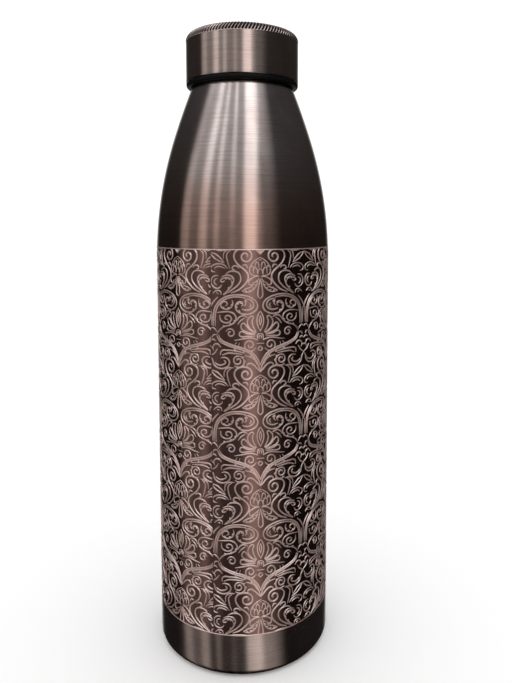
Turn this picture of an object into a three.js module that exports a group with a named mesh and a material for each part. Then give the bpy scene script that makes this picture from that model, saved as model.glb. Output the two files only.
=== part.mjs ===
// A one-litre copper water bottle with a screw cap. The bottle is a spun copper shell, a base plate
// brazed into its foot, a threaded collar brazed round its neck and a rubber ring at the foot of the
// neck. The cap is a drawn copper cover, a threaded sleeve brazed inside it and a silicone washer.
// Millimetres, +Z up, origin at the centre of the foot, on the surface that the bottle stands on.
import * as THREE from "three";

// Bottle shell
const WALL = 0.7;
const BODY_R = 37.5;
const FOOT_CORNER_R = 3.2;
const FOOT_FLANGE_R = 31.5; // inner edge of the turned-in foot
const SHOULDER_Z = 168; // where the straight wall ends
const SHOULDER_ARC_R = 169; // the shoulder's lower arc, seen from the side
const CONE_Z = 219.7; // where the shoulder straightens
const CONE_ARC_R = 345; // the shoulder's upper arc
const SHELF_Z = 241.3; // where the shoulder bends in to the neck
const SHELF_BEND_R = 0.9;
const NECK_R = 19.9;
const NECK_TOP_Z = 258.8;

// Base plate
const PLATE_GAP = 0.25; // brazed gap to the shell
const PLATE_DOME = 2; // rise of the plate at its middle
const PLATE_DOME_R = 28;

// Thread: right-hand, single start, with a rounded wave for its section
const PITCH = 5;
const THREAD_DEPTH = 1;
const THREAD_CLEARANCE = 0.4;
const THREAD_FADE = 2.5; // height over which the thread runs out at each end
const COLLAR_ROOT_R = 20.6;
const SLEEVE_ROOT_R = COLLAR_ROOT_R + THREAD_DEPTH + THREAD_CLEARANCE;
const COLLAR_THREAD_Z = [245.2, 257.4];
const SLEEVE_THREAD_Z = [244.6, 256.8];

// Threaded collar
const COLLAR_Z = [243.2, 260.2];
const COLLAR_BORE_R = NECK_R + 0.15;
const MOUTH_R = NECK_R - WALL;
const LIP_R = 0.5; // rounding of the mouth's edge
const LIP_STEP = 0.2; // gap over the end of the neck tube

// Rubber ring
const RING_BORE_R = 20.2;
const RING_OUTER_R = 24;
const RING_TOP_Z = 242.8;
const RING_SKIRT_Z = 241; // the skirt hangs over the edge of the shoulder
const RING_CORNER_R = 1.3;
const RING_CLEARANCE = 0.3;

// Cap
const CAP_R = 24.1;
const CAP_Z = [243, 263.3];
const CAP_CORNER_R = 2.9;
const CAP_RIM_R = 0.35;
const SLEEVE_R = CAP_R - WALL - 0.3;
const SLEEVE_Z = [244, 261];
const SLEEVE_CHAMFER = [0.8, 1.1];
const WASHER_BORE_R = 16.5;
const WASHER_R = 21.2;
const WASHER_Z = [260.4, 262.3];

// Facets
const SEGMENTS = 48; // flats round every turned piece
const THREAD_ROWS = 15; // rows of facets up a thread
const DEGREE = Math.PI / 180;

function metal(color, roughness) {
  return new THREE.MeshStandardMaterial({ color, metalness: 1, roughness });
}
function elastomer(color, roughness) {
  return new THREE.MeshStandardMaterial({ color, metalness: 0, roughness });
}
const antiqueCopper = metal(0x6b5049, 0.3);
const bareCopper = metal(0xb8735a, 0.35);
const blackRubber = elastomer(0x0b0b0c, 0.7);
const paleSilicone = elastomer(0xd8d6cf, 0.5);

// An outline is a list of [radius, height] points, up its outer side and down its inner side.

// Points of an arc about a centre, between two angles in degrees; 0 points outwards and 90 up.
function arc([r, z], radius, from, to, steps) {
  return Array.from({ length: steps + 1 }, (_, i) => {
    const angle = (from + ((to - from) * i) / steps) * DEGREE;
    return [r + radius * Math.cos(angle), z + radius * Math.sin(angle)];
  });
}

// Evenly spaced heights, both ends included.
function heights([low, high], steps) {
  return Array.from({ length: steps + 1 }, (_, i) => low + ((high - low) * i) / steps);
}

// The piece that an outline makes when it is turned about the bottle's axis. An outline that doesn't
// begin and end on the axis is a ring's section, and is closed.
function turned(name, outline, material) {
  const closed = outline[0][0] > 0 ? [...outline, outline[0]] : outline;
  const points = closed.map(([r, z]) => new THREE.Vector2(r, z));
  const geometry = new THREE.LatheGeometry(points, SEGMENTS);
  geometry.rotateX(Math.PI / 2);
  const mesh = new THREE.Mesh(geometry, material);
  mesh.name = name;
  return mesh;
}

// Height of the thread's wave at a place on a wall: 0 in the collar's groove, 1 on its crest.
function threadWave(angle, z) {
  return 0.5 + 0.5 * Math.cos((2 * Math.PI * z) / PITCH - angle);
}

// 0 at either end of a thread, 1 where it has its full depth.
function threadFade(z, [low, high]) {
  return Math.min(1, Math.max(0, Math.min(z - low, high - z) / THREAD_FADE));
}

// Cuts a thread into one wall of a turned piece: each of the wall's points in the zone moves by
// offset(wave), outwards if positive.
function cutThread(mesh, wallR, zone, offset) {
  const position = mesh.geometry.getAttribute("position");
  for (let i = 0; i < position.count; i += 1) {
    const [x, y, z] = [position.getX(i), position.getY(i), position.getZ(i)];
    const r = Math.hypot(x, y);
    const onWall = Math.abs(r - wallR) < 0.01 && z > zone[0] && z < zone[1];
    if (!onWall) continue;
    const move = offset(threadWave(Math.atan2(y, x), z)) * threadFade(z, zone);
    position.setXY(i, x * (1 + move / r), y * (1 + move / r));
  }
  return mesh;
}

// Radius of the shoulder's outer face at a height, and its lean from upright in radians. The two arcs
// meet without a corner.
function shoulderAt(z) {
  const lowerSine = (Math.min(z, CONE_Z) - SHOULDER_Z) / SHOULDER_ARC_R;
  const upperSine = lowerSine + Math.max(0, z - CONE_Z) / CONE_ARC_R;
  const [lowerLean, lean] = [Math.asin(lowerSine), Math.asin(upperSine)];
  const lowerIn = SHOULDER_ARC_R * (1 - Math.cos(lowerLean));
  const upperIn = CONE_ARC_R * (Math.cos(lowerLean) - Math.cos(lean));
  return { r: BODY_R - lowerIn - upperIn, lean };
}

// The shoulder's face, moved out along its normal.
function shoulderFace(out) {
  const levels = [...heights([SHOULDER_Z, CONE_Z], 5), ...heights([CONE_Z, SHELF_Z], 2).slice(1)];
  return levels.map((z) => {
    const { r, lean } = shoulderAt(z);
    return [r + out * Math.cos(lean), z + out * Math.sin(lean)];
  });
}

// The bend at the top of the shoulder, and the shelf that it leads to.
function shelfBend(out) {
  const { r, lean } = shoulderAt(SHELF_Z);
  const centre = [
    r - SHELF_BEND_R * Math.cos(lean),
    SHELF_Z - SHELF_BEND_R * Math.sin(lean),
  ];
  return arc(centre, SHELF_BEND_R + out, lean / DEGREE, 90, 3);
}

// Straight wall, shoulder, shelf and neck tube, with the foot turned in at the bottom.
function bottleShell() {
  const footCentre = [BODY_R - FOOT_CORNER_R, FOOT_CORNER_R];
  const outside = [
    [FOOT_FLANGE_R, 0],
    ...arc(footCentre, FOOT_CORNER_R, -90, 0, 4),
    ...shoulderFace(0),
    ...shelfBend(0).slice(1),
    [NECK_R, shelfBend(0).at(-1)[1]],
    [NECK_R, NECK_TOP_Z],
  ];
  const inside = [
    [NECK_R - WALL, NECK_TOP_Z],
    [NECK_R - WALL, shelfBend(-WALL).at(-1)[1]],
    ...shoulderFace(-WALL).reverse(),
    ...arc(footCentre, FOOT_CORNER_R - WALL, 0, -90, 3),
    [FOOT_FLANGE_R, WALL],
  ];
  return turned("bottle_shell", [...outside, ...inside], antiqueCopper);
}

// A disc with a shallow dome, resting on the turned-in foot from inside.
function basePlate() {
  const underside = WALL + PLATE_GAP;
  const edgeR = BODY_R - FOOT_CORNER_R;
  const domeArcR = (PLATE_DOME_R ** 2 + PLATE_DOME ** 2) / (2 * PLATE_DOME);
  const centre = [0, underside + PLATE_DOME - domeArcR];
  const halfAngle = Math.asin(PLATE_DOME_R / domeArcR) / DEGREE;
  const dome = (out) => [
    ...arc(centre, domeArcR + out, 90 - halfAngle, 90, 4).slice(0, -1),
    [0, underside + PLATE_DOME + out],
  ];
  const outline = [
    ...dome(0).reverse(),
    [edgeR, underside],
    [edgeR, underside + WALL],
    ...dome(WALL),
  ];
  return turned("base_plate", outline, bareCopper);
}

// The turned ring with the outer thread and the mouth's rounded edge.
function neckCollar() {
  const [low, high] = COLLAR_Z;
  const step = NECK_TOP_Z + LIP_STEP;
  const outline = [
    [COLLAR_BORE_R, low],
    [COLLAR_ROOT_R, low],
    ...heights(COLLAR_THREAD_Z, THREAD_ROWS).map((z) => [COLLAR_ROOT_R, z]),
    ...arc([COLLAR_ROOT_R - LIP_R, high - LIP_R], LIP_R, 0, 90, 2),
    ...arc([MOUTH_R + LIP_R, high - LIP_R], LIP_R, 90, 180, 2),
    [MOUTH_R, step],
    [COLLAR_BORE_R, step],
  ];
  const collar = turned("neck_collar", outline, bareCopper);
  return cutThread(collar, COLLAR_ROOT_R, COLLAR_THREAD_Z, (wave) => THREAD_DEPTH * wave);
}

// The ring between the shoulder and the cap's rim. Its skirt hangs over the edge of the shoulder.
function neckRing() {
  const corner = [RING_OUTER_R - RING_CORNER_R, RING_SKIRT_Z + RING_CORNER_R];
  const overBend = shelfBend(RING_CLEARANCE).reverse();
  const outline = [
    ...overBend,
    [shoulderAt(RING_SKIRT_Z).r + RING_CLEARANCE, RING_SKIRT_Z],
    ...arc(corner, RING_CORNER_R, -90, 0, 4),
    [RING_OUTER_R, RING_TOP_Z],
    [RING_BORE_R, RING_TOP_Z],
    [RING_BORE_R, overBend[0][1]],
  ];
  return turned("neck_ring", outline, blackRubber);
}

// A drawn copper cup with a rounded top edge.
function capShell() {
  const [rim, top] = CAP_Z;
  const corner = [CAP_R - CAP_CORNER_R, top - CAP_CORNER_R];
  const outline = [
    [0, top - WALL],
    ...arc(corner, CAP_CORNER_R - WALL, 90, 0, 4),
    ...arc([CAP_R - CAP_RIM_R, rim + CAP_RIM_R], CAP_RIM_R, 180, 360, 4),
    ...arc(corner, CAP_CORNER_R, 0, 90, 5),
    [0, top],
  ];
  return turned("cap_shell", outline, antiqueCopper);
}

// The ring inside the cap with the inner thread.
function capSleeve() {
  const [low, high] = SLEEVE_Z;
  const [chamferR, chamferZ] = SLEEVE_CHAMFER;
  const outline = [
    [SLEEVE_ROOT_R, low],
    [SLEEVE_R, low],
    [SLEEVE_R, high - chamferZ],
    [SLEEVE_R - chamferR, high],
    [SLEEVE_ROOT_R, high],
    ...heights(SLEEVE_THREAD_Z, THREAD_ROWS).reverse().map((z) => [SLEEVE_ROOT_R, z]),
  ];
  const sleeve = turned("cap_sleeve", outline, bareCopper);
  return cutThread(sleeve, SLEEVE_ROOT_R, SLEEVE_THREAD_Z, (wave) => THREAD_DEPTH * (wave - 1));
}

// The flat washer under the top of the cap, which seals the mouth.
function capWasher() {
  const [low, high] = WASHER_Z;
  const outline = [
    [WASHER_BORE_R, low],
    [WASHER_R, low],
    [WASHER_R, high],
    [WASHER_BORE_R, high],
  ];
  return turned("cap_washer", outline, paleSilicone);
}

const bottle = new THREE.Group();
bottle.add(bottleShell(), basePlate(), neckCollar(), neckRing());

const cap = new THREE.Group();
cap.add(capShell(), capSleeve(), capWasher());

const waterBottle = new THREE.Group();
waterBottle.add(bottle, cap);

export default waterBottle;
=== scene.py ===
from math import asin, atan2, cos, degrees, hypot, pi, radians, sin, sqrt, tau

import bmesh
import bpy
from bpy.props import FloatProperty, FloatVectorProperty, IntProperty, PointerProperty
from mathutils import Euler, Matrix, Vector


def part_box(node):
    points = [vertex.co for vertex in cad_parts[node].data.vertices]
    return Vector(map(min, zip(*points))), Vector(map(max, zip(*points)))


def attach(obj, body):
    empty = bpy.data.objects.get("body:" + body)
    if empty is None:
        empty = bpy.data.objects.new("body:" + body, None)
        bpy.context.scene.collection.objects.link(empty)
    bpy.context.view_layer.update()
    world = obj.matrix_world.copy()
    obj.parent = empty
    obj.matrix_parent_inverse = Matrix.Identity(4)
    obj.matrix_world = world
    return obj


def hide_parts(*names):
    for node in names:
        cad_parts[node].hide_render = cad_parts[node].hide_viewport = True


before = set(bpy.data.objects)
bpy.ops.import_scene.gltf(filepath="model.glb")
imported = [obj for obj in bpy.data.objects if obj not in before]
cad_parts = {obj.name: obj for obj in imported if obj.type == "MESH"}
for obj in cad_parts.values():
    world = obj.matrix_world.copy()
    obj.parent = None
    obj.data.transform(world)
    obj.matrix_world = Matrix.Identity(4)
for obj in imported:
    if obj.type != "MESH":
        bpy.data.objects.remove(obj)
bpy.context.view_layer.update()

bl_info = {
    "name": "Copper Water Bottle",
    "version": (1, 0, 0),
    "blender": (4, 5, 0),
    "location": "View3D > Sidebar > Bottle",
    "description": "An antique copper water bottle with an etched band and a screw cap",
    "category": "Add Mesh",
}

MM = 0.001
UP = (0, 0, 1)
ORIGIN = (0, 0, 0)
FINISH = "finish_"  # keeps these materials apart from the frame's own
CREASE = radians(35)  # faces that meet at more than this stay sharp
BODY_STEPS = 192
THREAD_STEPS = 144
THREAD_ROWS = 60
DISC_STEPS = 128


# Sizes that come from the frame


def top_of(node):
    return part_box(node)[1].z


def foot_of(node):
    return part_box(node)[0].z


def radius_of(node):
    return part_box(node)[1].x


# What a user would change


def length(name, description, default):
    return FloatProperty(
        name=name, description=description, default=default, min=0, unit="LENGTH", precision=5
    )


def angle(name, description, default):
    return FloatProperty(name=name, description=description, default=radians(default), subtype="ANGLE")


def colour(name, description, default):
    return FloatVectorProperty(
        name=name, description=description, default=default, min=0, max=1, size=3, subtype="COLOR"
    )


class BottleShape(bpy.types.PropertyGroup):
    """Sizes of the bottle and its cap, in metres."""

    body_radius: length("Body radius", "Outside of the straight wall", radius_of("bottle_shell"))
    wall: length("Wall", "Thickness of the copper sheet", 0.7 * MM)
    foot_corner: length("Foot corner", "Rounding round the foot", 3.2 * MM)
    foot_flange: length("Foot flange", "Inner radius of the turned-in foot", 31.5 * MM)
    shoulder_start: length("Shoulder start", "Height where the wall starts to lean in", 168 * MM)
    shoulder_arc: length("Shoulder arc", "Radius of the shoulder seen from the side", 169 * MM)
    cone_start: length("Cone start", "Height where the shoulder straightens", 219.7 * MM)
    cone_arc: length("Cone arc", "Radius of the straighter top of the shoulder", 345 * MM)
    shelf_start: length("Shelf start", "Height where the shoulder bends in", 241.3 * MM)
    shelf_bend: length("Shelf bend", "Radius of that bend", 0.9 * MM)
    neck_radius: length("Neck radius", "Outside of the neck tube", 19.9 * MM)
    cap_corner: length("Cap corner", "Rounding round the top of the cap", 2.9 * MM)
    thread_pitch: length("Thread pitch", "Rise of the cap in one turn", 5 * MM)
    thread_depth: length("Thread depth", "From groove to crest", 1 * MM)
    knurl_strokes: IntProperty(
        name="Knurl strokes", description="Slanting strokes round the cap", default=110, min=12
    )
    knurl_drop: length("Knurl drop", "How far down the wall the strokes run", 0.7 * MM)
    knurl_depth: length("Knurl depth", "Depth of the strokes", 0.45 * MM)
    knurl_lean: angle("Knurl lean", "How far round the top of a stroke is from its foot", 5.7)


class EtchedBand(bpy.types.PropertyGroup):
    """The etched band round the body."""

    bottom: length("Bottom", "Lower edge of the band", 17.7 * MM)
    top: length("Top", "Upper edge of the band", 173.8 * MM)
    depth: length("Etching depth", "How far the ground lies under the lines", 0.2 * MM)
    line_width: length("Line width", "Width of a line of the pattern", 0.56 * MM)
    tile_width: length("Pattern width", "One repeat round the body", 40 * MM)
    tile_height: length("Pattern height", "One repeat up the body", 46 * MM)
    knot_height: length("Pattern start", "Height of the highest whole knot", 163.4 * MM)
    knot_turn: angle("Pattern turn", "How far right of the front the pattern's axis is", 10.2)
    seam_turn: angle("Seam turn", "How far right of the front the pattern's two ends meet", -19.5)


class CopperColours(bpy.types.PropertyGroup):
    """Colours of the metal, linear."""

    antique: colour("Antique copper", "Darkened copper of the body and cap", (0.52, 0.42, 0.385))
    deep: colour("Deep patina", "The darkest patches of the antique copper", (0.26, 0.18, 0.155))
    # This warm tone is also painted over the band as a warm reflection. Elsewhere it tints brush bands,
    # grain, wear and stains.
    blush: colour("Blush", "Warmer copper just over the band", (0.50, 0.33, 0.275))
    ground: colour("Etched ground", "Bottom of the etching", (0.22, 0.125, 0.11))
    line: colour("Lines", "Lines of the pattern", (0.92, 0.69, 0.63))
    bare: colour("Bare copper", "Copper inside and on the threads", (0.83, 0.47, 0.32))


class Studio(bpy.types.PropertyGroup):
    """The camera's place, aim and lens."""

    camera_distance: length("Camera distance", "From the bottle's axis", 279.6 * MM)
    camera_height: length("Camera height", "Over the floor", 184.8 * MM)
    camera_turn: angle("Camera turn", "Aim right of the axis", 2.63)
    camera_tilt: angle("Camera tilt", "Aim under the horizon", 4.75)
    lens: FloatProperty(name="Lens", description="Focal length", default=33.34, unit="CAMERA")
    shift_right: FloatProperty(name="Shift right", description="Lens shift", default=-0.0235)
    shift_up: FloatProperty(name="Shift up", description="Lens shift", default=-0.1005)


# Outlines, as lists of (radius, height) points in metres


def arc(centre, radius, start, end, steps):
    """Points round a centre, between two angles in degrees; 0 points outwards and 90 up."""
    turns = [radians(start + (end - start) * i / steps) for i in range(steps + 1)]
    return [(centre[0] + radius * cos(t), centre[1] + radius * sin(t)) for t in turns]


def levels(low, high, steps):
    return [low + (high - low) * i / steps for i in range(steps + 1)]


def shoulder_at(shape, z):
    """Outer radius of the body at a height, and its lean from upright in radians."""
    lower = max(0, min(z, shape.cone_start) - shape.shoulder_start) / shape.shoulder_arc
    upper = lower + max(0, z - shape.cone_start) / shape.cone_arc
    lower_in = shape.shoulder_arc * (1 - sqrt(1 - lower**2))
    upper_in = shape.cone_arc * (sqrt(1 - lower**2) - sqrt(1 - upper**2))
    return shape.body_radius - lower_in - upper_in, asin(upper)


def wall_point(shape, z, out):
    """A point on the body's wall, moved out along the wall's normal."""
    radius, lean = shoulder_at(shape, z)
    return radius + out * cos(lean), z + out * sin(lean)


def shelf_bend(shape, out, steps):
    """The bend between the shoulder and the shelf under the neck."""
    radius, lean = shoulder_at(shape, shape.shelf_start)
    centre = (
        radius - shape.shelf_bend * cos(lean),
        shape.shelf_start - shape.shelf_bend * sin(lean),
    )
    return arc(centre, shape.shelf_bend + out, degrees(lean), 90, steps)


# Meshes


def finish_mesh(bm):
    """Smooth faces, with a crease wherever two of them meet at a sharp angle."""
    for face in bm.faces:
        face.smooth = True
    for edge in bm.edges:
        edge.smooth = edge.is_manifold and edge.calc_face_angle() < CREASE


def piece(name, bm, body, materials, replaced=()):
    """Makes a mesh into a piece that moves with a body of the frame."""
    finish_mesh(bm)
    mesh = bpy.data.meshes.new(name)
    bm.to_mesh(mesh)
    bm.free()
    for material in materials:
        mesh.materials.append(material)
    made = bpy.data.objects.new(name, mesh)
    bpy.context.scene.collection.objects.link(made)
    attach(made, body)
    if replaced:
        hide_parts(*replaced)


def turned(outline, steps):
    """Spins an outline about the bottle's axis. One that doesn't start and end on the axis is closed."""
    bm = bmesh.new()
    points = [bm.verts.new((radius, 0, height)) for radius, height in outline]
    edges = [bm.edges.new(pair) for pair in zip(points, points[1:])]
    if outline[0][0] > 0:
        edges.append(bm.edges.new((points[-1], points[0])))
    bmesh.ops.spin(
        bm, geom=points + edges, cent=ORIGIN, axis=UP, angle=tau, steps=steps, use_merge=True
    )
    bmesh.ops.remove_doubles(bm, verts=bm.verts, dist=0.001 * MM)
    bmesh.ops.recalc_face_normals(bm, faces=bm.faces)
    return bm


def cut_thread(bm, shape, wall_radius, zone, offset):
    """Moves the points of one wall in or out by offset(wave), wave being 1 on the thread's crest."""
    fade = 2.5 * MM
    tolerance = 0.01 * MM
    for vert in bm.verts:
        radius = hypot(vert.co.x, vert.co.y)
        if abs(radius - wall_radius) > tolerance or not zone[0] < vert.co.z < zone[1]:
            continue
        turn = atan2(vert.co.y, vert.co.x)
        wave = 0.5 + 0.5 * cos(tau * vert.co.z / shape.thread_pitch - turn)
        share = min(1, (vert.co.z - zone[0]) / fade, (zone[1] - vert.co.z) / fade)
        grown = 1 + offset(wave) * share / radius
        vert.co.x *= grown
        vert.co.y *= grown


# Node trees


class Socket:
    """An output of a node. Arithmetic on it adds Math nodes to its tree."""

    def __init__(self, tree, output):
        self.tree = tree
        self.output = output

    def math(self, operation, *values):
        made = self.tree.nodes.new("ShaderNodeMath")
        made.operation = operation
        for target, value in zip(made.inputs, values):
            plug(self.tree, target, value)
        return Socket(self.tree, made.outputs[0])

    def __add__(self, other):
        return self.math("ADD", self, other)

    def __sub__(self, other):
        return self.math("SUBTRACT", self, other)

    def __rsub__(self, other):
        return self.math("SUBTRACT", other, self)

    def __mul__(self, other):
        return self.math("MULTIPLY", self, other)

    def __truediv__(self, other):
        return self.math("DIVIDE", self, other)

    def __rtruediv__(self, other):
        return self.math("DIVIDE", other, self)

    def __pow__(self, other):
        return self.math("POWER", self, other)

    def __rpow__(self, other):
        return self.math("POWER", other, self)

    __radd__ = __add__
    __rmul__ = __mul__


def plug(tree, target, value):
    """Links a socket to an input, or sets the input's own value."""
    if isinstance(value, Socket):
        tree.links.new(value.output, target)
    elif hasattr(target.default_value, "__len__") and len(target.default_value) == 4:
        target.default_value = (*value[:3], 1)
    else:
        target.default_value = value


class Graph:
    """The node tree of a material or of the world."""

    def __init__(self, owner):
        owner.use_nodes = True
        self.tree = owner.node_tree
        self.tree.nodes.clear()

    def add(self, kind, output, settings, inputs):
        """Adds a node: its type, the output wanted, its settings and its sockets by identifier."""
        made = self.tree.nodes.new(kind)
        for name, value in settings.items():
            setattr(made, name, value)
        by_identifier = {s.identifier: s for s in made.inputs}
        for name, value in inputs.items():
            plug(self.tree, by_identifier[name], value)
        if output is None:
            return made
        found = [s for s in made.outputs if s.identifier == output]
        return Socket(self.tree, found[0])

    def place(self):
        """Object coordinates in millimetres."""
        place = self.add("ShaderNodeTexCoord", "Object", {}, {})
        scaled = self.add(
            "ShaderNodeVectorMath", "Vector", {"operation": "SCALE"}, {"Vector": place, "Scale": 1 / MM}
        )
        return [self.add("ShaderNodeSeparateXYZ", axis, {}, {"Vector": scaled}) for axis in "XYZ"]

    def vector(self, x, y, z):
        return self.add("ShaderNodeCombineXYZ", "Vector", {}, {"X": x, "Y": y, "Z": z})

    def noise(self, place, scale=1.0, detail=2.0, roughness=0.5):
        return self.add(
            "ShaderNodeTexNoise",
            "Fac",
            {},
            {"Vector": place, "Scale": scale, "Detail": detail, "Roughness": roughness},
        )

    def between(self, value, low, high):
        """0 at low and 1 at high, with soft ends. low may be the larger of the two."""
        return self.add(
            "ShaderNodeMapRange",
            "Result",
            {"interpolation_type": "SMOOTHSTEP"},
            {"Value": value, "From Min": low, "From Max": high},
        )

    def mix(self, share, first, second, blend="MIX"):
        return self.add(
            "ShaderNodeMix",
            "Result_Color",
            {"data_type": "RGBA", "blend_type": blend},
            {"Factor_Float": share, "A_Color": first, "B_Color": second},
        )

    def bump(self, height, distance):
        return self.add("ShaderNodeBump", "Normal", {}, {"Height": height, "Distance": distance})

    def surface(self, **inputs):
        """The surface shader, with its sockets named as in Blender but with _ for a space."""
        named = {name.replace("_", " "): value for name, value in inputs.items()}
        shader = self.add("ShaderNodeBsdfPrincipled", "BSDF", {}, named)
        self.add("ShaderNodeOutputMaterial", None, {}, {"Surface": shader})


def new_material(name):
    material = bpy.data.materials.new(FINISH + name)
    return material, Graph(material)


def along_outline(x, y, z):
    """A length in millimetres that grows along a turned piece's outline."""
    return z - (x * x + y * y) ** 0.5


def brush_marks(graph, x, y, z, fine=3.2):
    """Fine marks that run round the piece. fine is how many there are to a millimetre."""
    place = graph.vector(x * 0.05, y * 0.05, along_outline(x, y, z) * fine)
    return graph.noise(place, detail=3, roughness=0.6)


def brush_bands(graph, x, y, z):
    """Broader bands that run round the piece."""
    return graph.noise(graph.vector(x * 0.02, y * 0.02, along_outline(x, y, z) * 0.9), detail=2)


def antique_copper(colours):
    """Darkened, brushed copper with deeper clouds, and a painted warm reflection: a warmer tone by height
    just over the band.
    """
    material, graph = new_material("antique_copper")
    x, y, z = graph.place()
    marks = brush_marks(graph, x, y, z)
    bands = brush_bands(graph, x, y, z)
    clouds = graph.noise(graph.vector(x, y, z * 0.6), scale=0.045, detail=3, roughness=0.55)
    # Painted warm reflection: between about 168 and 206 mm, just over the band, the colour is pulled
    # towards the warm tone.
    blush = graph.between(z, 206, 184) * graph.between(z, 168, 173)
    tone = graph.mix(blush * 0.95, colours.antique, colours.blush)
    tone = graph.mix(graph.between(clouds, 0.6, 0.35) * 0.45, tone, colours.deep)
    tone = graph.mix(graph.between(marks, 0.6, 0.3) * 0.35, tone, colours.deep)
    tone = graph.mix(graph.between(bands, 0.5, 0.7) * 0.3, tone, colours.blush)
    graph.surface(
        Base_Color=tone,
        Metallic=1.0,
        Roughness=0.12 + marks * 0.08 + bands * 0.05,
        Anisotropic=0.85,
        Anisotropic_Rotation=0.25,
        Normal=graph.bump(marks, 0.004 * MM),
    )
    return material


def etched_ground(colours):
    """The bottom of the etching: darker and a little grainy."""
    material, graph = new_material("etched_ground")
    x, y, z = graph.place()
    marks = brush_marks(graph, x, y, z)
    grain = graph.noise(graph.vector(x, y, z), scale=3.5, detail=2)
    clouds = graph.noise(graph.vector(x, y, z), scale=0.06, detail=3)
    tone = graph.mix(graph.between(clouds, 0.35, 0.7) * 0.2, colours.ground, colours.deep)
    tone = graph.mix(graph.between(grain, 0.55, 0.8) * 0.1, tone, colours.blush)
    graph.surface(
        Base_Color=tone,
        Metallic=1.0,
        Roughness=0.2 + grain * 0.1,
        Anisotropic=0.7,
        Anisotropic_Rotation=0.25,
        Normal=graph.bump(grain + marks * 0.5, 0.006 * MM),
    )
    return material


def stroke_patina(colours):
    """Dark patina at the bottom of the cap's strokes."""
    material, graph = new_material("stroke_patina")
    x, y, z = graph.place()
    grain = graph.noise(graph.vector(x, y, z), scale=3, detail=3)
    tone = graph.mix(graph.between(grain, 0.4, 0.75) * 0.4, (0.03, 0.014, 0.012), colours.ground)
    graph.surface(
        Base_Color=tone,
        Metallic=1.0,
        Roughness=0.45 + grain * 0.2,
        Normal=graph.bump(grain, 0.008 * MM),
    )
    return material


def pattern_line(colours):
    """The raised lines: pale copper, worn unevenly."""
    material, graph = new_material("pattern_line")
    x, y, z = graph.place()
    grain = graph.noise(graph.vector(x, y, z), scale=2.5, detail=2)
    wear = graph.noise(graph.vector(x, y, z), scale=0.12, detail=3)
    tone = graph.mix(graph.between(wear, 0.6, 0.3) * 0.45, colours.line, colours.blush)
    graph.surface(
        Base_Color=tone,
        Metallic=0.86,
        Roughness=0.3 + grain * 0.14,
        Normal=graph.bump(grain, 0.01 * MM),
    )
    return material


def bare_copper(colours):
    """Copper that was never darkened: inside the bottle and on the threads."""
    material, graph = new_material("bare_copper")
    x, y, z = graph.place()
    marks = brush_marks(graph, x, y, z, fine=2.2)
    bands = brush_bands(graph, x, y, z)
    stains = graph.noise(graph.vector(x, y, z), scale=0.11, detail=4, roughness=0.6)
    tone = graph.mix(graph.between(stains, 0.45, 0.7) * 0.5, colours.bare, colours.blush)
    tone = graph.mix(graph.between(marks, 0.6, 0.35) * 0.25, tone, colours.antique)
    graph.surface(
        Base_Color=tone,
        Metallic=1.0,
        Roughness=0.26 + marks * 0.12 + stains * 0.08,
        Anisotropic=0.5,
        Anisotropic_Rotation=0.25,
        Normal=graph.bump(marks + bands, 0.006 * MM),
    )
    return material


def black_rubber():
    material, graph = new_material("black_rubber")
    x, y, z = graph.place()
    grain = graph.noise(graph.vector(x, y, z), scale=6, detail=3)
    dust = graph.noise(graph.vector(x, y, z), scale=0.5, detail=4, roughness=0.7)
    tone = graph.mix(graph.between(dust, 0.55, 0.8) * 0.35, (0.002, 0.002, 0.002), (0.008, 0.007, 0.007))
    graph.surface(
        Base_Color=tone,
        Roughness=0.45 + grain * 0.2,
        Specular_IOR_Level=0.2,
        Normal=graph.bump(grain, 0.01 * MM),
    )
    return material


def pale_silicone():
    material, graph = new_material("pale_silicone")
    x, y, z = graph.place()
    grain = graph.noise(graph.vector(x, y, z), scale=2, detail=3)
    haze = graph.noise(graph.vector(x, y, z), scale=0.2, detail=2)
    tone = graph.mix(graph.between(haze, 0.35, 0.7) * 0.5, (0.75, 0.73, 0.68), (0.62, 0.58, 0.52))
    graph.surface(
        Base_Color=tone,
        Roughness=0.42 + grain * 0.15,
        Normal=graph.bump(grain, 0.008 * MM),
    )
    return material


def shared(make, *settings):
    """A material that several pieces use, made once."""
    return bpy.data.materials.get(FINISH + make.__name__) or make(*settings)


# The band's pattern. A motif is a list of strokes, and a stroke is a list of (across, up) points in
# millimetres: across from the palmette's axis, and up from the knot over its pendant. The motifs are
# drawn on one side of that axis, and their mirror image is on the other.


def scroll(centre, start, turns, wide, narrow):
    """A spiral that winds in from a width to a narrower one. start is in degrees."""
    count = max(4, round(abs(turns) * 8))
    points = []
    for i in range(count + 1):
        share = i / count
        turn = radians(start) + turns * tau * share
        reach = wide + (narrow - wide) * share
        points.append((centre[0] + reach * cos(turn), centre[1] + reach * sin(turn)))
    return points


def beside(stroke, gap):
    """A stroke that runs beside another, to its left if gap is positive."""
    moved = []
    for i, (across, up) in enumerate(stroke):
        before = stroke[max(0, i - 1)]
        after = stroke[min(len(stroke) - 1, i + 1)]
        run = Vector((after[0] - before[0], after[1] - before[1])).normalized()
        moved.append((across - run.y * gap, up + run.x * gap))
    return moved


def fringe(stroke, reach):
    """Short hairs that leave a stroke, to its left if reach is positive, as on the edge of a leaf."""
    hairs = []
    for before, here, after in zip(stroke, stroke[1:], stroke[2:]):
        run = Vector((after[0] - before[0], after[1] - before[1])).normalized()
        side = Vector((-run.y, run.x)) * reach
        forward = run * abs(reach)
        root = Vector(here)
        hairs.append([here, tuple(root + side * 0.6 + forward * 0.2), tuple(root + side + forward)])
    return hairs


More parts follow.
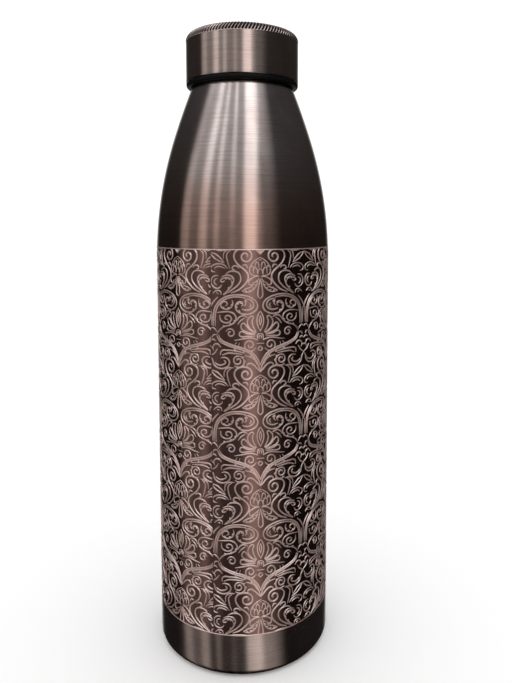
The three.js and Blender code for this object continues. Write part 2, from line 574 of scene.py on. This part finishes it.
def leaf(base, tip, belly):
    """The two edges of a leaf. belly is its greatest half width."""
    run = Vector(tip) - Vector(base)
    side = Vector((-run.y, run.x)).normalized() * belly
    edges = []
    for sign in (1, -1):
        low = Vector(base) + run * 0.3 + side * sign * 0.8
        high = Vector(base) + run * 0.65 + side * sign
        edges.append([base, tuple(low), tuple(high), tip])
    return edges


def pendant():
    return [[(0, -1.0), (0.45, -3.0), (0.95, -6.3), (0.85, -7.9), (0, -8.8)]]


def cone():
    """A bud of overlapping scales, standing on the knot."""
    outline = [(0.6, 0.2), (3.6, 0.7), (4.1, 2.6), (3.3, 4.6), (1.8, 6.1), (0, 7.2)]
    scales = [
        [(0, 2.8), (0.7, 2.2), (0.9, 0.8)],
        [(1.2, 0.7), (1.3, 2.5), (2.0, 3.3), (2.7, 2.4), (2.6, 0.9)],
        [(0.5, 3.0), (0.6, 4.4), (1.2, 5.4), (1.9, 4.6), (1.9, 3.5)],
        [(2.7, 2.8), (3.0, 4.0), (3.5, 3.2)],
        [(0, 6.4), (0.6, 5.9)],
    ]
    return [outline, *scales]


def knot_leaves():
    under = [(0.9, -2.0), (1.4, -3.4), (2.3, -4.8), (3.6, -5.8), (5.3, -6.2), (7.2, -5.7)]
    return [
        [(0.3, -0.3), (1.6, -0.2), (3.2, -0.8), (4.5, -2.2), (4.1, -3.4), (2.9, -3.2), (2.6, -2.4)],
        [(0.5, -0.8), (1.2, -1.9), (2.3, -2.6)],
        under,
        *fringe(under, 0.7),
        [(7.2, -5.7), (6.0, -5.1), (5.1, -4.7), (4.0, -4.4), (2.8, -3.7)],
    ]


def knot_stem():
    """The S that winds up beside the bud and runs down to the heart."""
    eye = scroll((5.7, 7.6), 90, 1.35, 2.8, 0.6)
    stem = [
        (8.0, 10.3), (9.6, 9.4), (10.2, 7.7), (9.6, 5.8), (8.2, 4.1), (6.4, 2.7),
        (5.1, 1.3), (4.6, -0.2), (5.1, -2.0), (6.5, -3.7), (8.6, -5.4), (11.4, -6.5),
    ]
    return [eye[::-1] + stem, [(4.9, 3.2), (5.5, 4.3), (6.9, 4.2)]]


def heart():
    outer = [
        (14.4, -7.3), (11.5, -5.6), (9.0, -3.7), (7.7, -1.8),
        (7.7, 0.2), (8.6, 1.4), (10.3, 1.9), (12.0, 1.7), (13.4, 0.9),
    ]
    inner = [
        (14.6, -7.2), (12.2, -5.0), (10.7, -2.8), (10.4, -0.9), (11.4, 0.1), (13.4, 0.3), (15.2, -0.4),
    ]
    comma = [
        (11.2, -1.9), (11.8, -0.9), (13.1, -0.6), (14.5, -0.9), (15.5, -1.9), (14.6, -2.2), (13.8, -1.7),
    ]
    return [
        outer,
        inner,
        comma,
        *fringe(comma[:4], -0.6),
        *fringe(inner[:5], -0.6),
        [(8.2, 3.1), (9.2, 3.9), (10.6, 3.7), (10.8, 2.8), (9.8, 2.4)],
        [(16.4, 0.2), (18.2, -0.1), (19.3, -1.6), (19.0, -3.5), (17.5, -4.7), (15.8, -4.4), (15.0, -3.3)],
        [(16.6, -0.9), (17.8, -1.4), (18.0, -2.7), (17.0, -3.6)],
        [(15.3, -7.2), (15.6, -6.0), (17.3, -5.7), (18.7, -6.8)],
        [(16.3, -6.9), (17.2, -6.5)],
    ]


def gable():
    """Two leaves that meet in a point over the heart, the curls under them and a blade beside them."""
    return [
        *leaf((14.0, 5.1), (19.9, 9.2), 0.75),
        [(12.7, 2.9), (14.0, 4.2), (16.0, 4.7), (18.2, 4.3), (19.4, 3.2), (19.1, 1.9), (17.6, 1.5)],
        [(13.8, 3.0), (15.4, 3.6), (17.2, 3.5), (18.0, 2.8)],
        [(10.4, 10.2), (12.6, 10.1), (14.1, 8.9), (14.3, 6.6)],
        [(11.4, 10.0), (12.9, 8.6), (12.8, 6.2), (11.8, 3.0)],
    ]


def arch():
    """The stem that rises by the other axis, arches over and winds into a leafy scroll."""
    rise = [
        (18.6, -19.6), (18.6, -16.5), (18.3, -13.8), (17.3, -11.2), (15.4, -9.1),
        (12.6, -7.7), (9.2, -7.2), (5.8, -7.6), (2.9, -8.8), (1.2, -10.8),
    ]
    wind = [
        (1.4, -12.8), (3.2, -14.3), (5.8, -14.8), (8.2, -14.1),
        (9.6, -12.4), (9.3, -10.7), (7.9, -9.9), (6.9, -10.7), (7.4, -11.8),
    ]
    return [
        rise + wind,
        beside(rise[:8], 0.8),
        *fringe(wind[2:8], 0.7),
        [(6.2, -8.8), (4.2, -9.1), (2.8, -10.3), (2.7, -11.8), (4.0, -12.9), (6.0, -13.1), (7.3, -12.7)],
        [(4.9, -10.0), (5.9, -9.5), (5.6, -10.7), (6.4, -11.6)],
        [(4.4, -12.2), (3.7, -11.4), (4.1, -10.6)],
        [(16.7, -8.2), (18.3, -9.8), (19.4, -11.5), (20, -13.2)],
        [(19.4, -13.0), (19.3, -16.0), (19.2, -19.3)],
    ]


def small_scrolls():
    high = [
        (11.0, -9.2), (10.8, -11.0), (12.0, -12.5), (14.2, -12.7), (15.5, -11.6),
        (14.9, -10.3), (13.4, -10.0), (12.9, -11.0), (13.7, -11.6),
    ]
    low = [
        (16.9, -14.2), (14.6, -13.9), (11.8, -13.9), (9.8, -15.2), (9.6, -17.2),
        (11.4, -18.8), (14.0, -19.6), (15.8, -20.8), (17.0, -22.6),
    ]
    return [
        high,
        *fringe(high[:5], 0.6),
        low,
        *fringe(low[3:8], 0.6),
        [(15.9, -15.0), (15.6, -17.0), (14.0, -18.1), (12.1, -17.8), (11.3, -16.6),
         (12.0, -15.5), (13.4, -15.5), (13.7, -16.5), (12.8, -16.9)],
        scroll((11.7, -22.2), 20, 1.25, 1.9, 0.5),
        [(5.1, -16.1), (6.4, -15.4), (8.1, -15.8), (9.2, -17.3)],
        [(6.2, -16.2), (7.7, -17.3), (8.9, -18.8)],
        [(17.0, -21.8), (18.0, -20.6), (19.0, -20.2), (20, -20.9)],
        [(17.1, -22.9), (18.6, -23.1), (19.1, -24.1)],
    ]


def palmette():
    """A fan of petals on a small arch."""
    return [
        [(0, -13.6), (0.9, -15.2), (1.35, -17.2), (0.9, -19.6), (0, -21.5)],
        [(0, -15.2), (0.45, -17.2), (0, -19.4)],
        [(1.6, -21.8), (2.8, -19.6), (3.2, -17.4), (2.9, -15.6), (4.3, -16.1),
         (5.1, -17.7), (4.6, -19.6), (3.0, -21.3), (1.6, -21.9)],
        [(1.9, -22.2), (4.2, -20.8), (5.8, -18.9), (6.7, -18.3), (7.5, -19.2),
         (7.3, -20.5), (5.6, -21.6), (3.6, -22.2), (2.0, -22.4)],
        [(2.1, -22.9), (5.2, -22.4), (7.6, -21.6), (8.2, -22.4), (7.9, -23.3), (5.0, -23.4), (2.2, -23.4)],
        [(0, -22.4), (0.9, -22.8), (1.2, -23.7), (1.1, -24.6)],
        [(0, -23.1), (0.45, -23.5), (0.4, -24.4)],
        [(0, -26.3), (1.5, -26.3)],
        [(0, -27.4), (0.8, -28.3), (0, -29.3)],
        [(1.0, -25.0), (2.6, -24.3), (4.8, -24.1), (7.6, -24.6), (10.3, -25.0)],
        scroll((4.1, -26.9), 205, 1.5, 2.6, 0.5),
        [(8.2, -25.9), (8.5, -27.1)],
        [(9.2, -25.7), (10.0, -26.6)],
    ]


def falling_stems():
    """Stems that fall from the other axis and meet under the palmette, and the scrolls under them."""
    stem = [
        (17.2, -23.2), (16.0, -25.3), (13.6, -26.7), (10.1, -27.9), (6.5, -29.0),
        (3.6, -30.5), (1.8, -32.7), (0.6, -35.4), (0, -37.6),
    ]
    under = [(8.6, -31.0), (7.2, -31.7), (6.4, -33.0), (6.8, -34.8), (8.6, -35.6), (10.3, -35.0)]
    return [
        stem,
        beside(stem[:8], -0.75),
        *fringe(stem[2:7], 0.8),
        under,
        *fringe(under, -0.6),
        [(1.3, -34.6), (2.9, -32.1), (6.1, -31.0)],
        [(0, -37.6), (1.1, -36.4), (2.6, -34.8), (4.0, -34.1), (5.1, -34.5), (5.3, -35.4)],
        [(6.5, -29.9), (9.4, -29.2), (12.4, -28.9), (15.4, -29.3), (15.7, -31.0)],
        [(7.0, -30.5), (10.0, -30.1), (13.0, -30.1), (15.0, -30.9)],
        scroll((8.8, -33.0), 115, -1.3, 2.0, 0.5),
        [(20, -31.3), (18.9, -33.0), (18.4, -34.8), (16.4, -36.1), (13.9, -35.9),
         (12.2, -34.3), (12.5, -32.6), (14.0, -31.8), (15.6, -32.0)],
        [(18.1, -33.9), (16.6, -34.8), (14.8, -34.6), (13.7, -33.6), (14.4, -32.8)],
        [(16.9, -28.4), (18.2, -30.2), (20, -31.3)],
        [(15.6, -27.8), (16.8, -26.6), (18.2, -26.8), (19.0, -28.1)],
        [(17.7, -25.4), (18.8, -24.8), (20, -25.6)],
        [(18.4, -29.2), (19.3, -28.0), (20, -28.4)],
    ]


def half_pattern():
    """Every stroke on one side, each with its width as a share of the pattern's."""
    weights = {
        pendant: 1.0, cone: 0.8, knot_leaves: 0.9, knot_stem: 1.25, heart: 1.05, gable: 1.0,
        arch: 1.1, small_scrolls: 1.0, palmette: 0.95, falling_stems: 1.15,
    }
    return [(stroke, weight) for motif, weight in weights.items() for stroke in motif()]


def mirrored(stroke):
    return [(-across, up) for across, up in stroke]


def flat_pattern(band):
    """One repeat of the pattern as a flat mesh of tapering rods, in metres."""
    curve = bpy.data.curves.new("pattern", "CURVE")
    curve.dimensions = "3D"
    curve.bevel_depth = band.line_width / 2
    curve.bevel_resolution = 1
    curve.resolution_u = 4
    curve.use_fill_caps = True
    half = half_pattern()
    for stroke, weight in half + [(mirrored(stroke), weight) for stroke, weight in half]:
        spline = curve.splines.new("BEZIER")
        spline.bezier_points.add(len(stroke) - 1)
        for i, (point, (across, up)) in enumerate(zip(spline.bezier_points, stroke)):
            point.co = (across * MM, up * MM, 0)
            point.handle_left_type = "AUTO"
            point.handle_right_type = "AUTO"
            point.radius = weight * (0.5 if i in (0, len(stroke) - 1) else 1)
    holder = bpy.data.objects.new("pattern", curve)
    bpy.context.scene.collection.objects.link(holder)
    shown = holder.evaluated_get(bpy.context.evaluated_depsgraph_get())
    mesh = bpy.data.meshes.new_from_object(shown)
    bpy.data.objects.remove(holder)
    bpy.data.curves.remove(curve)
    return mesh


def trim(bm, edge_point, outward):
    """Cuts off what lies past a line of the flat pattern, and closes the cut ends."""
    cut = bmesh.ops.bisect_plane(
        bm,
        geom=bm.verts[:] + bm.edges[:] + bm.faces[:],
        plane_co=edge_point,
        plane_no=outward,
        clear_outer=True,
    )
    open_edges = [e for e in cut["geom_cut"] if isinstance(e, bmesh.types.BMEdge) and e.is_boundary]
    if open_edges:
        bmesh.ops.holes_fill(bm, edges=open_edges)


def wrap(bm, shape, band):
    """Rolls a flat pattern, in metres round and up from the front of the foot, on to the body.

    The rods are flattened, and cut off level with the wall."""
    flattened = 0.7
    for vert in bm.verts:
        turn = vert.co.x / shape.body_radius
        height = vert.co.y
        ground = wall_point(shape, height, -band.depth)[0]
        radius = ground + min(vert.co.z * flattened, band.depth)
        vert.co = (radius * sin(turn), -radius * cos(turn), height)


# Operators


class BOTTLE_OT_body(bpy.types.Operator):
    """Makes the copper body: wall, etched band, shoulder, shelf and neck tube"""

    bl_idname = "bottle.body"
    bl_label = "Body"

    def execute(self, context):
        shape = context.scene.bottle_shape
        band = context.scene.etched_band
        colours = context.scene.copper_colours
        neck_top = top_of("bottle_shell")
        foot = (shape.body_radius - shape.foot_corner, shape.foot_corner)
        etched_edge = 0.12 * MM
        rows = [
            band.bottom + etched_edge,
            band.bottom + 40 * MM,
            band.bottom + 90 * MM,
            shape.shoulder_start,
            band.top - etched_edge,
        ]
        shoulder = [wall_point(shape, z, 0) for z in levels(band.top, shape.shelf_start, 30)[1:]]
        bend = shelf_bend(shape, 0, 5)
        outside = [
            (shape.foot_flange, 0),
            *arc(foot, shape.foot_corner, -90, 0, 8),
            wall_point(shape, band.bottom, 0),
            *[wall_point(shape, z, -band.depth) for z in rows],
            wall_point(shape, band.top, 0),
            *shoulder,
            *bend[1:],
            (shape.neck_radius, bend[-1][1]),
            (shape.neck_radius, neck_top),
        ]
        inner_bend = shelf_bend(shape, -shape.wall, 2)[-1][1]
        bore = shape.neck_radius - shape.wall
        inside = [
            (bore, neck_top),
            (bore, inner_bend),
            *[
                wall_point(shape, z, -shape.wall)
                for z in levels(shape.shoulder_start, shape.shelf_start, 16)[::-1]
            ],
            *arc(foot, shape.foot_corner - shape.wall, 0, -90, 5),
            (shape.foot_flange, shape.wall),
        ]
        bm = turned(outside + inside, BODY_STEPS)
        etched_face, bare_face = 1, 2
        neck_start = shape.shelf_start + 1.2 * MM
        for face in bm.faces:
            middle = face.calc_center_median()
            radius = hypot(middle.x, middle.y)
            mid_wall = wall_point(shape, middle.z, 0)[0] - shape.wall / 2
            within = radius < mid_wall and middle.z > shape.foot_corner
            inwards = face.normal.xy.dot(middle.xy) < -0.1 * radius
            if band.bottom < middle.z < band.top and radius > mid_wall:
                face.material_index = etched_face
            elif within or inwards or middle.z > neck_start:
                face.material_index = bare_face
        piece(
            "bottle_body",
            bm,
            "bottle",
            [
                shared(antique_copper, colours),
                shared(etched_ground, colours),
                shared(bare_copper, colours),
            ],
            ["bottle_shell"],
        )
        return {"FINISHED"}


class BOTTLE_OT_band(bpy.types.Operator):
    """Makes the raised lines of the etched band and the two lines that border it"""

    bl_idname = "bottle.band"
    bl_label = "Etched band"

    def execute(self, context):
        shape = context.scene.bottle_shape
        band = context.scene.etched_band
        line = shared(pattern_line, context.scene.copper_colours)
        border = 0.45 * MM
        buried = 0.35 * MM
        chamfer = 0.08 * MM
        for name, z in (("band_border_lower", band.bottom), ("band_border_upper", band.top - border)):
            low = wall_point(shape, z, 0)[0]
            high = wall_point(shape, z + border, 0)[0]
            outline = [
                (low - buried, z),
                (low - chamfer, z),
                (low, z + border * 0.25),
                (high, z + border * 0.75),
                (high - chamfer, z + border),
                (high - buried, z + border),
            ]
            piece(name, turned(outline, BODY_STEPS), "bottle", [line])
        self.scrolls(shape, band, border, line)
        return {"FINISHED"}

    def scrolls(self, shape, band, border, line):
        """The pattern, in one piece for each repeat round the body.

        The rows start over the band and end under it, and are trimmed to it."""
        pattern = flat_pattern(band)
        round_body = tau * shape.body_radius
        seam = band.seam_turn * shape.body_radius
        gap = 0.15 * MM
        first = band.knot_turn * shape.body_radius - band.tile_width
        column = 0
        while first + column * band.tile_width - band.tile_width / 2 < seam + round_body:
            across = first + column * band.tile_width
            bm = bmesh.new()
            for row in range(-1, 5):
                up = band.knot_height - row * band.tile_height
                known = len(bm.verts)
                bm.from_mesh(pattern)
                bm.verts.ensure_lookup_table()
                bmesh.ops.translate(bm, verts=bm.verts[known:], vec=(across, up, 0))
            trim(bm, (0, band.top - border, 0), (0, 1, 0))
            trim(bm, (0, band.bottom + border, 0), (0, -1, 0))
            trim(bm, (seam + gap, 0, 0), (-1, 0, 0))
            trim(bm, (seam + round_body - gap, 0, 0), (1, 0, 0))
            if bm.faces:
                wrap(bm, shape, band)
                piece(f"band_scrolls_{column}", bm, "bottle", [line])
            else:
                bm.free()
            column += 1
        bpy.data.meshes.remove(pattern)


class BOTTLE_OT_base(bpy.types.Operator):
    """Makes the domed disc that closes the foot"""

    bl_idname = "bottle.base"
    bl_label = "Base disc"

    def execute(self, context):
        shape = context.scene.bottle_shape
        low = foot_of("base_plate")
        edge = radius_of("base_plate")
        rise = top_of("base_plate") - low - shape.wall
        dome_edge = 28 * MM
        chamfer = 0.15 * MM
        dome_arc = (dome_edge**2 + rise**2) / (2 * rise)
        half = degrees(asin(dome_edge / dome_arc))

        def dome(out):
            return arc((0, low + rise - dome_arc), dome_arc + out, 90 - half, 90, 12)[:-1] + [
                (0, low + rise + out)
            ]

        outline = [
            *dome(0)[::-1],
            (edge - chamfer, low),
            (edge, low + chamfer),
            (edge, low + shape.wall - chamfer),
            (edge - chamfer, low + shape.wall),
            *dome(shape.wall),
        ]
        copper = shared(bare_copper, context.scene.copper_colours)
        piece("base_disc", turned(outline, DISC_STEPS), "bottle", [copper], ["base_plate"])
        return {"FINISHED"}


class BOTTLE_OT_collar(bpy.types.Operator):
    """Makes the threaded collar and the rubber ring round the neck"""

    bl_idname = "bottle.collar"
    bl_label = "Collar and ring"

    def execute(self, context):
        shape = context.scene.bottle_shape
        copper = shared(bare_copper, context.scene.copper_colours)
        low, high = foot_of("neck_collar"), top_of("neck_collar")
        bore = shape.neck_radius + 0.15 * MM
        root = bore + 0.55 * MM
        mouth = shape.neck_radius - shape.wall
        lip = 0.5 * MM
        chamfer = 0.2 * MM
        zone = (low + 2 * MM, high - 2.8 * MM)
        step = top_of("bottle_shell") + 0.2 * MM
        outline = [
            (bore, low),
            (root - chamfer, low),
            (root, low + chamfer),
            *[(root, z) for z in levels(*zone, THREAD_ROWS)],
            *arc((root - lip, high - lip), lip, 0, 90, 5),
            *arc((mouth + lip, high - lip), lip, 90, 180, 5),
            (mouth, step),
            (bore, step),
        ]
        bm = turned(outline, THREAD_STEPS)
        cut_thread(bm, shape, root, zone, lambda wave: shape.thread_depth * wave)
        piece("threaded_collar", bm, "bottle", [copper], ["neck_collar"])
        self.ring(shape)
        return {"FINISHED"}

    def ring(self, shape):
        """The rubber ring on the shelf. Its skirt hangs over the edge of the shoulder."""
        low, high = foot_of("neck_ring"), top_of("neck_ring")
        outer = radius_of("neck_ring")
        corner = 1.3 * MM
        edge = 0.25 * MM
        clearance = 0.1 * MM
        bore = shape.neck_radius + clearance
        over = shelf_bend(shape, clearance, 4)[::-1]
        outline = [
            *over,
            wall_point(shape, low + 0.1 * MM, clearance),
            (wall_point(shape, low, clearance)[0] + 0.15 * MM, low),
            *arc((outer - corner, low + corner), corner, -90, 0, 8),
            *arc((outer - edge, high - edge), edge, 0, 90, 3),
            (bore, high),
            (bore, over[0][1]),
        ]
        rubber = shared(black_rubber)
        piece("rubber_ring", turned(outline, 160), "bottle", [rubber], ["neck_ring"])


class BOTTLE_OT_cap(bpy.types.Operator):
    """Makes the copper cover of the cap, with its knurled edge"""

    bl_idname = "bottle.cap"
    bl_label = "Cap"

    def execute(self, context):
        shape = context.scene.bottle_shape
        colours = context.scene.copper_colours
        rim, top = foot_of("cap_shell"), top_of("cap_shell")
        outer = radius_of("cap_shell")
        corner = (outer - shape.cap_corner, top - shape.cap_corner)
        bead = shape.wall / 2
        knurl_foot = corner[1] - shape.knurl_drop
        plain = 0.15 * MM  # unpressed wall under the strokes
        inside = [
            (0, top - shape.wall),
            *arc(corner, shape.cap_corner - shape.wall, 90, 0, 6),
        ]
        outside = [
            *arc((outer - bead, rim + bead), bead, 180, 360, 8),
            (outer, rim + 1.0 * MM),
            (outer, knurl_foot - plain),
            *[(outer, z) for z in levels(knurl_foot, corner[1], 4)[:-1]],
            *arc(corner, shape.cap_corner, 0, 90, 16),
            (corner[0] - 0.6 * MM, top),
            (0, top),
        ]
        steps_in_stroke = 8
        bm = turned(inside + outside, shape.knurl_strokes * steps_in_stroke)
        depths = self.knurl(bm, shape, corner)
        bare_face, groove_face = 1, 2
        for face in bm.faces:
            middle = face.calc_center_median()
            radial = Vector((middle.x, middle.y, 0))
            inwards = face.normal.dot(radial) < 0 and hypot(middle.x, middle.y) < outer - bead
            under = face.normal.z < -0.5 and middle.z > rim + shape.wall
            if inwards or under:
                face.material_index = bare_face
            elif sum(depths.get(vert, 0) for vert in face.verts) > 0.5 * len(face.verts):
                face.material_index = groove_face
        copper = shared(antique_copper, colours)
        bare = shared(bare_copper, colours)
        groove = shared(stroke_patina, colours)
        piece("cap_cover", bm, "cap", [copper, bare, groove], ["cap_shell"])
        return {"FINISHED"}

    def knurl(self, bm, shape, corner):
        """Presses slanting strokes into the rounded edge. The mesh leans with them.

        Returns how deep each point of the edge went, 1 being the bottom of a stroke."""
        depths = {}
        tolerance = 0.02 * MM
        fade = 0.08  # share of a stroke over which each end runs out
        for vert in bm.verts:
            radius = hypot(vert.co.x, vert.co.y)
            out = Vector((radius - corner[0], vert.co.z - corner[1]))
            turn = atan2(vert.co.y, vert.co.x)
            below = max(0, -out.y)
            out.y = max(0, out.y)
            if abs(out.length - shape.cap_corner) > tolerance or below > shape.knurl_drop:
                continue
            run = shape.knurl_drop - below + shape.cap_corner * atan2(out.y, out.x)
            along = run / (shape.knurl_drop + shape.cap_corner * pi / 2)
            wave = 0.5 - 0.5 * cos(shape.knurl_strokes * turn)
            depths[vert] = wave * min(1, along / fade, (1 - along) / fade)
            pressed = shape.knurl_depth * depths[vert] / out.length
            radius -= pressed * out.x
            leant = turn + shape.knurl_lean * along
            vert.co = (radius * cos(leant), radius * sin(leant), vert.co.z - pressed * out.y)
        return depths


class BOTTLE_OT_cap_inside(bpy.types.Operator):
    """Makes the threaded sleeve and the washer inside the cap"""

    bl_idname = "bottle.cap_inside"
    bl_label = "Cap inside"

    def execute(self, context):
        shape = context.scene.bottle_shape
        copper = shared(bare_copper, context.scene.copper_colours)
        low, high = foot_of("cap_sleeve"), top_of("cap_sleeve")
        outer = radius_of("cap_sleeve")
        root = outer - 1.1 * MM
        zone = (low + 0.6 * MM, low + 12.8 * MM)
        chamfer = 0.2 * MM
        outline = [
            (root, low),
            (outer - chamfer, low),
            (outer, low + chamfer),
            (outer, high - 1.1 * MM),
            (outer - 0.8 * MM, high),
            (root, high),
            *[(root, z) for z in levels(*zone, THREAD_ROWS)[::-1]],
        ]
        bm = turned(outline, THREAD_STEPS)
        cut_thread(bm, shape, root, zone, lambda wave: shape.thread_depth * (wave - 1))
        piece("cap_thread_ring", bm, "cap", [copper], ["cap_sleeve"])
        self.washer()
        return {"FINISHED"}

    def washer(self):
        low, high = foot_of("cap_washer"), top_of("cap_washer")
        outer = radius_of("cap_washer")
        bore = 16.5 * MM
        edge = 0.3 * MM
        outline = [
            *arc((bore + edge, low + edge), edge, 180, 270, 4),
            *arc((outer - edge, low + edge), edge, -90, 0, 4),
            *arc((outer - edge, high - edge), edge, 0, 90, 4),
            *arc((bore + edge, high - edge), edge, 90, 180, 4),
        ]
        silicone = shared(pale_silicone)
        bm = turned(outline, DISC_STEPS)
        piece("silicone_washer", bm, "washer", [silicone], ["cap_washer"])


class BOTTLE_OT_stage(bpy.types.Operator):
    """Makes the floor, the studio light and the camera"""

    bl_idname = "bottle.stage"
    bl_label = "Stage"

    def execute(self, context):
        self.floor(context)
        self.light(context)
        self.camera(context)
        context.scene.view_settings.view_transform = "Standard"
        return {"FINISHED"}

    def floor(self, context):
        bm = bmesh.new()
        bmesh.ops.create_grid(bm, x_segments=1, y_segments=1, size=6)
        mesh = bpy.data.meshes.new("floor")
        bm.to_mesh(mesh)
        bm.free()
        material, graph = new_material("floor")
        graph.surface(Base_Color=(0.93, 0.93, 0.93), Roughness=0.8)
        mesh.materials.append(material)
        floor = bpy.data.objects.new("floor", mesh)
        floor.visible_glossy = False
        context.scene.collection.objects.link(floor)

    def light(self, context):
        """A white room for the floor, and tall soft boxes round the bottle for the metal to mirror.

        A box's brightness follows it, and changes with slope: the rise over the horizon as a tangent."""
        world = bpy.data.worlds.new("studio")
        context.scene.world = world
        world.cycles.sampling_method = "NONE"
        graph = Graph(world)
        direction = graph.add("ShaderNodeTexCoord", "Generated", {}, {})
        x, y, z = [graph.add("ShaderNodeSeparateXYZ", axis, {}, {"Vector": direction}) for axis in "XYZ"]
        turn = x.math("ARCTAN2", x, 0 - y) * degrees(1)
        slope = z / (x * x + y * y) ** 0.5
        overhead = graph.between(slope, 1.3, 2.5)
        slope = slope.math("MINIMUM", slope, 1.4)
        up = slope.math("MAXIMUM", slope, 0)
        steep = slope * slope

        def box(centre, half, soft):
            """A tall soft box: 1 inside its half width, all in degrees, and 0 past its soft edge."""
            away = (turn - centre).math("ABSOLUTE", turn - centre)
            return graph.between(away - half, soft, 0)

        around = turn.math("ABSOLUTE", turn)
        key = box(9 + steep * 9, 4 + steep * 5, 8) * (slope * 0.5 + 1.05)
        key_edge = box(28 + steep * 6, 4, 20 + steep * 10) * (steep * 0.5 + 0.12)
        narrow = (
            box(-54, 3, 6) * (up * 0.6 + 0.38)
            + box(-35, 1.5, 4) * (up * 0.8 + 0.25)
            + box(-14, 1.5, 4) * (up * 0.8 + 0.08)
            + box(-82, 4, 6) * 0.3
        )
        fill = box(-15, 35, 10) * (graph.between(slope, -0.35, 0.2) * 0.2 + up * 0.25 + 0.05)
        wide_left = box(-68, 14, 8) * (up * 0.5 + 0.15)
        behind = graph.between(around, 148, 174) * 0.9
        white = key + key_edge + narrow + fill + wide_left + behind + up * 0.08 + 0.02
        white = white * graph.between(slope, -1.7, -0.8)
        tint = graph.mix(graph.between(slope, 0.2, 0.85), (1, 0.97, 0.95), (1, 1.12, 1.2))
        light = graph.mix(1.0, tint, graph.vector(white, white, white), "MULTIPLY")
        light = graph.mix(overhead, light, (0.45, 0.45, 0.45))
        mirrored = graph.add("ShaderNodeLightPath", "Is Glossy Ray", {}, {})
        shown = graph.mix(mirrored, (1.18, 1.18, 1.18), light)
        back = graph.add("ShaderNodeBackground", "Background", {}, {"Color": shown})
        graph.add("ShaderNodeOutputWorld", None, {}, {"Surface": back})

    def camera(self, context):
        studio = context.scene.studio
        data = bpy.data.cameras.new("camera")
        data.lens = studio.lens
        data.shift_x = studio.shift_right
        data.shift_y = studio.shift_up
        data.clip_start = 0.01
        camera = bpy.data.objects.new("camera", data)
        camera.location = (0, -studio.camera_distance, studio.camera_height)
        camera.rotation_euler = Euler((pi / 2 - studio.camera_tilt, 0, -studio.camera_turn))
        context.scene.collection.objects.link(camera)
        context.scene.camera = camera


PROPERTY_GROUPS = {
    "bottle_shape": BottleShape,
    "etched_band": EtchedBand,
    "copper_colours": CopperColours,
    "studio": Studio,
}
OPERATORS = (
    BOTTLE_OT_stage,
    BOTTLE_OT_body,
    BOTTLE_OT_band,
    BOTTLE_OT_base,
    BOTTLE_OT_collar,
    BOTTLE_OT_cap,
    BOTTLE_OT_cap_inside,
)


class BOTTLE_PT_panel(bpy.types.Panel):
    """Lists the pieces of the bottle and what can be changed"""

    bl_idname = "BOTTLE_PT_panel"
    bl_label = "Copper Water Bottle"
    bl_space_type = "VIEW_3D"
    bl_region_type = "UI"
    bl_category = "Bottle"

    def draw(self, context):
        for operator in OPERATORS:
            self.layout.operator(operator.bl_idname)
        for group in PROPERTY_GROUPS:
            settings = getattr(context.scene, group)
            box = self.layout.box()
            for name in settings.__annotations__:
                box.prop(settings, name)


def register():
    for name, group in PROPERTY_GROUPS.items():
        bpy.utils.register_class(group)
        setattr(bpy.types.Scene, name, PointerProperty(type=group))
    for operator in OPERATORS:
        bpy.utils.register_class(operator)
    bpy.utils.register_class(BOTTLE_PT_panel)


def unregister():
    bpy.utils.unregister_class(BOTTLE_PT_panel)
    for operator in reversed(OPERATORS):
        bpy.utils.unregister_class(operator)
    for name, group in PROPERTY_GROUPS.items():
        delattr(bpy.types.Scene, name)
        bpy.utils.unregister_class(group)


def main():
    register()
    bpy.ops.bottle.stage()
    bpy.ops.bottle.body()
    bpy.ops.bottle.band()
    bpy.ops.bottle.base()
    bpy.ops.bottle.collar()
    bpy.ops.bottle.cap()
    bpy.ops.bottle.cap_inside()


if __name__ == "__main__":
    main()
